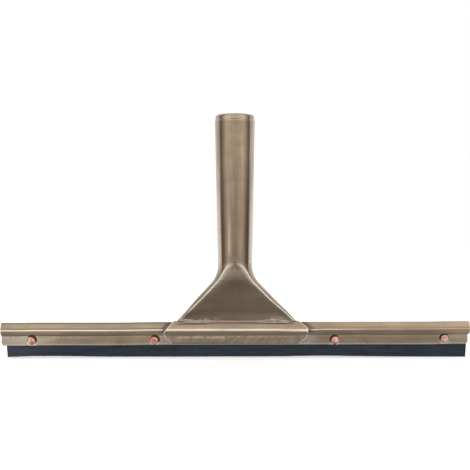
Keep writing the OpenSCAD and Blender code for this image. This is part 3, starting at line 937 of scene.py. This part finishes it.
def fan_solder(node, side, seed):
    """The solder wiped up the foot of the fan's face: a lip on the saddle that thins out as it climbs."""
    half = fan_half(FAN_BASE_Z) - edge_width(FAN_BASE_Z) - 0.7
    path = rail_path()
    slope = (path + path_normals(path) * (SADDLE_GAP + SADDLE_SHEET))[::-1]
    face = FAN_BASE_OUT
    rings, stains, foot_shadow = [], [], []
    for x in np.linspace(-half, half, 320):
        at = np.array([x, 0, 0])
        across = -side * x
        smeared = max(float(smooth(12, 24, across)), float(smooth(-16, -26, across)))
        lumpy = waves(at, 13, seed) + 0.5 * waves(at, 4, seed + 1)
        fade = 0.35 + 0.65 * float(smooth(half, half - 5, abs(x)))
        tall = (0.35 + 0.1 * lumpy + smeared * (0.7 + 0.8 * lumpy)) * fade
        foot, top = FAN_BASE_Z - (1.5 + 0.4 * smeared) * fade, FAN_BASE_Z + max(0.25, tall)
        middle = (foot + FAN_BASE_Z) / 2
        at_foot, at_middle = np.interp([foot, middle], slope[:, 1], slope[:, 0])
        proud = 0.07 + 0.02 * lumpy
        section = [[at_foot - 0.6, foot + 0.35], [at_foot - 0.02, foot - 0.02], [at_foot + 0.1, foot + 0.3],
                   [max(at_middle, face) + proud + 0.06, middle], [face + proud + 0.06, FAN_BASE_Z - 0.2],
                   [face + proud, (FAN_BASE_Z + top) / 2], [fan_out(top) + 0.05, top],
                   [fan_out(top) - 0.15, top + 0.05], [face - 0.5, FAN_BASE_Z]]
        rings.append([[x + fan_lean(FAN_BASE_Z), side * out, z] for out, z in section])
        stains.append([1 - smeared] * 5 + [0.5 * (1 - smeared)] + [0] * 3)
        # Painted shadow along the fillet's foot.
        foot_shadow.append([0.9, 0.9, 0.8, 0.1] + [0] * 5)
    masks = {"stained": np.array(stains), "stain_and_shade": np.array(foot_shadow)}
    dress(loft_mesh(f"{node}_fillet", rings, masks), SOLDER_FINISH, "solder", node)


def saddle_solder(node, way, side, seed):
    """Solder that ran out on the rail round one pointed end of the saddle."""
    path = rail_path()
    normals = path_normals(path)
    keep = (path[:, 1] > LIP_Z + 1.2) & (path[:, 1] < RAIL_TOP - 1.2)
    path, normals = path[keep], normals[keep]
    z = path[:, 1]
    place = np.stack([0 * z, 0 * z, z], axis=1)
    run = np.maximum(1.6 + 0.9 * waves(place, 6, seed) + 0.4 * waves(place, 2, seed + 1), 0.4)
    outer, inner = [], []
    for u in np.linspace(0, 1, 14):
        x = way * (saddle_end(z, way) - 0.8 + u * (0.8 + run))
        for rows, thick in ((outer, 0.02 + 0.07 * (1 - u) ** 1.5), (inner, 0.01)):
            lifted = path + normals * thick
            rows.append(np.stack([x, side * lifted[:, 0], lifted[:, 1]], axis=1))
    outer, inner = np.array(outer), np.array(inner)
    masks = {"stain_and_shade": 0.75 * smooth(GROOVE_Z + 0.5, GROOVE_Z + 2.5, outer[..., 2])}
    dress(sheet_mesh(f"{node}_run", outer, inner, masks), SOLDER_FINISH, "solder", node)


# ---------- Blade and rivets ----------
def blade():
    """The rubber strip: slightly wavy below the lips, its wiping edge softened and rubbed away."""
    middle, half = (BLADE_LOW[0] + BLADE_HIGH[0]) / 2, (BLADE_HIGH[0] - BLADE_LOW[0]) / 2
    thick, top, corner = BLADE_HIGH[1], BLADE_HIGH[2], 0.15
    foot = arc_points(thick - corner, corner, corner, 0, -90, 5)
    side_line = along(np.array([[thick, top], [thick, LIP_Z - 0.2], foot[0]]), 1.2)
    right = np.concatenate([side_line, foot[1:]])
    ring = np.concatenate([right, right[::-1] * [-1, 1]])
    xs = np.concatenate([[-half, -half + 0.15], np.linspace(-half + 0.6, half - 0.6, 300),
                         [half - 0.15, half]])
    rings = swept(xs, ring)
    x, z = rings[..., 0].copy(), rings[..., 2].copy()
    line = lengthwise(x)
    free = smooth(LIP_Z + 1, 0, z)
    rings[..., 1] += 0.3 * free * waves(line, 80, 31) + 0.08 * free * waves(line, 22, 32)
    rubbed = 0.1 + 0.4 * smooth(155, 95, x) + 0.5 * bell(x + 140, 30) + 0.4 * bell(x - 64, 22)
    rubbed -= 0.25 * smooth(-155, -172, x)
    rings[..., 2] += (rubbed + 0.04 * waves(line, 9, 34)) * smooth(6, 0, z)
    rings[..., 0] *= 1 - 0.0035 * smooth(LIP_Z, 0, z) * (np.abs(x) > half - 1)
    rings[..., 0] += middle
    paler = 0.4 + 0.3 * waves(rings, 25, 35)
    masks = {"wear_and_highlight": smooth(1.1, 0.1, z) * paler + 0.9 * smooth(-125, -170, x)}
    dress(loft_mesh("blade_strip", rings, masks, sharp=60), RUBBER_FINISH, "rubber", "blade")


def rivet_profile(seat):
    """Half of a rivet's section as [radius, out], from the top of one head to that of the other."""
    top = seat + HEAD_H
    side = along(np.array([
        [0.02, top], [1.0, top], [1.8, top - 0.03], [2.3, top - 0.12], [2.62, top - 0.3],
        [2.82, top - 0.52], [HEAD_R - 0.02, seat + 0.2], [HEAD_R - 0.05, seat + 0.02],
        [2.2, seat], [SHANK_R, seat]]), 0.35)
    middle = along(np.array([[SHANK_R, seat], [SHANK_R, -seat]]), 1.0)[1:-1]
    return np.concatenate([side, middle, side[::-1] * [1, -1]])


def rivet(node, at, seed):
    """A copper rivet, hammered to an uneven low head on both sides."""
    seat = LIP_OUT - DIMPLE_DEPTH + 0.02
    turns = np.linspace(0, 2 * math.pi, 57)[:-1]
    rings = np.array([[[r * math.cos(a), out, r * math.sin(a)] for a in turns]
                      for r, out in rivet_profile(seat)])
    out = np.abs(rings[..., 1])
    radius = np.hypot(rings[..., 0], rings[..., 2])
    face = smooth(seat + 0.1, seat + 0.5, out)
    rings[..., 1] -= np.sign(rings[..., 1]) * face * np.abs(0.16 * waves(rings, 4.5, seed))
    stretch = 1 + face * 0.035 * waves(unit(rings * [1, 0, 1]) * 3, 5, seed + 1)
    rings[..., 0] *= stretch
    rings[..., 2] *= stretch
    uphill = -math.copysign(0.6, at[0]) * rings[..., 0] + 0.8 * rings[..., 2]
    # Painted shade round the head's edge, deepest on its uphill side, and under the head.
    rim_shade = smooth(HEAD_R - 0.4, HEAD_R - 0.1, radius) * 0.35
    rim_shade += smooth(HEAD_R - 1.1, HEAD_R - 0.65, radius) * smooth(0.1, 0.7, uphill / np.maximum(radius, 0.1))
    masks = {"stain_and_shade": rim_shade + (out < seat + 0.05) * 0.5}
    rings += np.array([at[0], 0, at[1]])
    dress(loft_mesh(f"{node}_hammered", rings, masks), COPPER_FINISH, "copper", node)


# ---------- Studio ----------
# How bright the surroundings are, as (number, level) pairs. The number is the height of the
# direction, from -1 straight down to 1 straight up, ...
TOP_LEVELS = [(0.12, 0.96), (0.32, 1.2), (0.52, 1.35), (0.7, 1.2), (0.86, 1.08), (1, 1.0)]
HEIGHT_LEVELS = [(-1, 0.5), (-0.8, 0.5), (-0.61, 0.62), (-0.55, 0.40), (-0.17, 0.44), (-0.05, 0.74),
                 (0, 0.84)] + TOP_LEVELS
SIDE_HEIGHT_LEVELS = [(-1, 0.5), (-0.8, 0.7), (-0.6, 1.0), (-0.1, 1.0), (0, 0.84)] + TOP_LEVELS
# ... or its depth, from -1 straight out in front to 1 straight behind.
DEPTH_LEVELS = [(-1, 0.88), (-0.94, 0.96), (-0.8, 1.08), (-0.55, 1.1), (-0.2, 0.5), (0.0, 0.30),
                (0.18, 0.27), (1, 0.27)]
BEHIND = [(-1, 0), (0.19, 0), (0.26, 1), (1, 1)]
ASIDE = [(-1, 0), (-0.95, 0), (-0.8, 1), (1, 1)]
OVERHEAD = [(0, 0), (0.85, 0), (0.97, 1), (1, 1)]
WHITE = (1, 1, 1, 1)
COOL_WHITE = (1.0, 1.0, 1.04, 1)


def levels(nodes, stops, source):
    """The level that goes with the source, from (number, level) stops. A ramp holds half of it."""
    low, high = stops[0][0], stops[-1][0]
    reach = nodes.new("MapRange")
    reach.inputs["From Min"].default_value = low
    reach.inputs["From Max"].default_value = high
    nodes.set(reach.inputs["Value"], source)
    node = nodes.new("ValToRGB")
    ramp = node.color_ramp
    for element, (number, level) in zip(ramp.elements, (stops[0], stops[-1])):
        element.position, element.color = (number - low) / (high - low), (level / 2,) * 3 + (1,)
    for number, level in stops[1:-1]:
        ramp.elements.new((number - low) / (high - low)).color = (level / 2,) * 3 + (1,)
    nodes.set(node.inputs[0], reach.outputs["Result"])
    return nodes.times(node.outputs["Color"], 2.0)


def world():
    """Soft studio surroundings: lit from the front and above, dark at the sides, white behind.

    The camera itself sees plain white.
    """
    studio = bpy.data.worlds.new("studio")
    bpy.context.scene.world = studio
    studio.use_nodes = True
    studio.node_tree.nodes.clear()
    nodes = Nodes(studio.node_tree)
    split = nodes.new("SeparateXYZ")
    nodes.set(split.inputs[0], nodes.new("TexCoord").outputs["Generated"])
    x, y, z = split.outputs

    by_height = levels(nodes, HEIGHT_LEVELS, z)
    by_height_aside = levels(nodes, SIDE_HEIGHT_LEVELS, z)
    squares = nodes.math("ADD", nodes.times(x, x), nodes.times(y, y))
    depth = nodes.math("DIVIDE", y, nodes.math("MAXIMUM", nodes.math("SQRT", squares), 0.01))
    by_depth = levels(nodes, DEPTH_LEVELS, depth)
    behind = levels(nodes, BEHIND, depth)
    overhead = levels(nodes, OVERHEAD, nodes.math("ABSOLUTE", z))
    aside = levels(nodes, ASIDE, depth)
    front = nodes.times(nodes.mix(aside, by_height, by_height_aside, kind="FLOAT"),
                        nodes.mix(overhead, by_depth, 0.9, kind="FLOAT"))
    behind = nodes.times(behind, nodes.math("SUBTRACT", 1.0, overhead))
    reflected = nodes.mix(behind, front, COOL_WHITE)
    seen = nodes.mix(nodes.new("LightPath").outputs["Is Camera Ray"], reflected, WHITE)
    background = nodes.new("Background")
    nodes.set(background.inputs["Color"], seen)
    nodes.set(nodes.new("OutputWorld").inputs["Surface"], background.outputs[0])


def floor():
    """A pale floor that glows a little and isn't seen in reflections."""
    mesh = bpy.data.meshes.new("floor")
    size = 6.0
    corners = [(-size, -size, 0), (size, -size, 0), (size, size, 0), (-size, size, 0)]
    mesh.from_pydata(corners, [], [(0, 1, 2, 3)])
    ground = add("floor", mesh)
    n = Finish("pale_floor")
    n.shader.inputs["Emission Color"].default_value = WHITE
    n.shader.inputs["Emission Strength"].default_value = 0.35
    paint = n.ramp(n.noise((300, 300, 300)), 0.3, 0.7, 0.86, 0.88)
    mesh.materials.append(n.finish(paint, 0.9, 0.0, Specular_IOR_Level=0.0))
    ground.visible_glossy = False


CAMERA_DISTANCE = 0.80
CAMERA_HEIGHT = 0.09175
CAMERA_ROLL = 0.1  # degrees
FRAME_WIDTH = 0.3539  # what the picture spans across at the object
SENSOR_WIDTH = 36


def camera():
    """The camera faces the front squarely, level with the middle of the object."""
    data = bpy.data.cameras.new("camera")
    data.sensor_width = SENSOR_WIDTH
    data.lens = SENSOR_WIDTH * CAMERA_DISTANCE / FRAME_WIDTH
    eye = add("camera", data)
    eye.location = (0, -CAMERA_DISTANCE, CAMERA_HEIGHT)
    eye.rotation_euler = (math.pi / 2, math.radians(CAMERA_ROLL), 0)
    bpy.context.scene.camera = eye
    bpy.context.scene.view_settings.view_transform = "Standard"


handle_shell("handle_front_shell", FRONT, 101)
handle_shell("handle_rear_shell", REAR, 201)
mouth_ring()
seam_solder("seam_solder_left", LEFT)
seam_solder("seam_solder_right", RIGHT)
rail()
saddle()
fan_solder("fan_solder_front", FRONT, 301)
fan_solder("fan_solder_rear", REAR, 311)
saddle_solder("saddle_solder_front_left", LEFT, FRONT, 321)
saddle_solder("saddle_solder_front_right", RIGHT, FRONT, 331)
saddle_solder("saddle_solder_rear_left", LEFT, REAR, 341)
saddle_solder("saddle_solder_rear_right", RIGHT, REAR, 351)
blade()
for number, place in enumerate(RIVETS, start=1):
    rivet(f"rivet_{number}", place, 400 + 10 * number)
world()
floor()
camera()
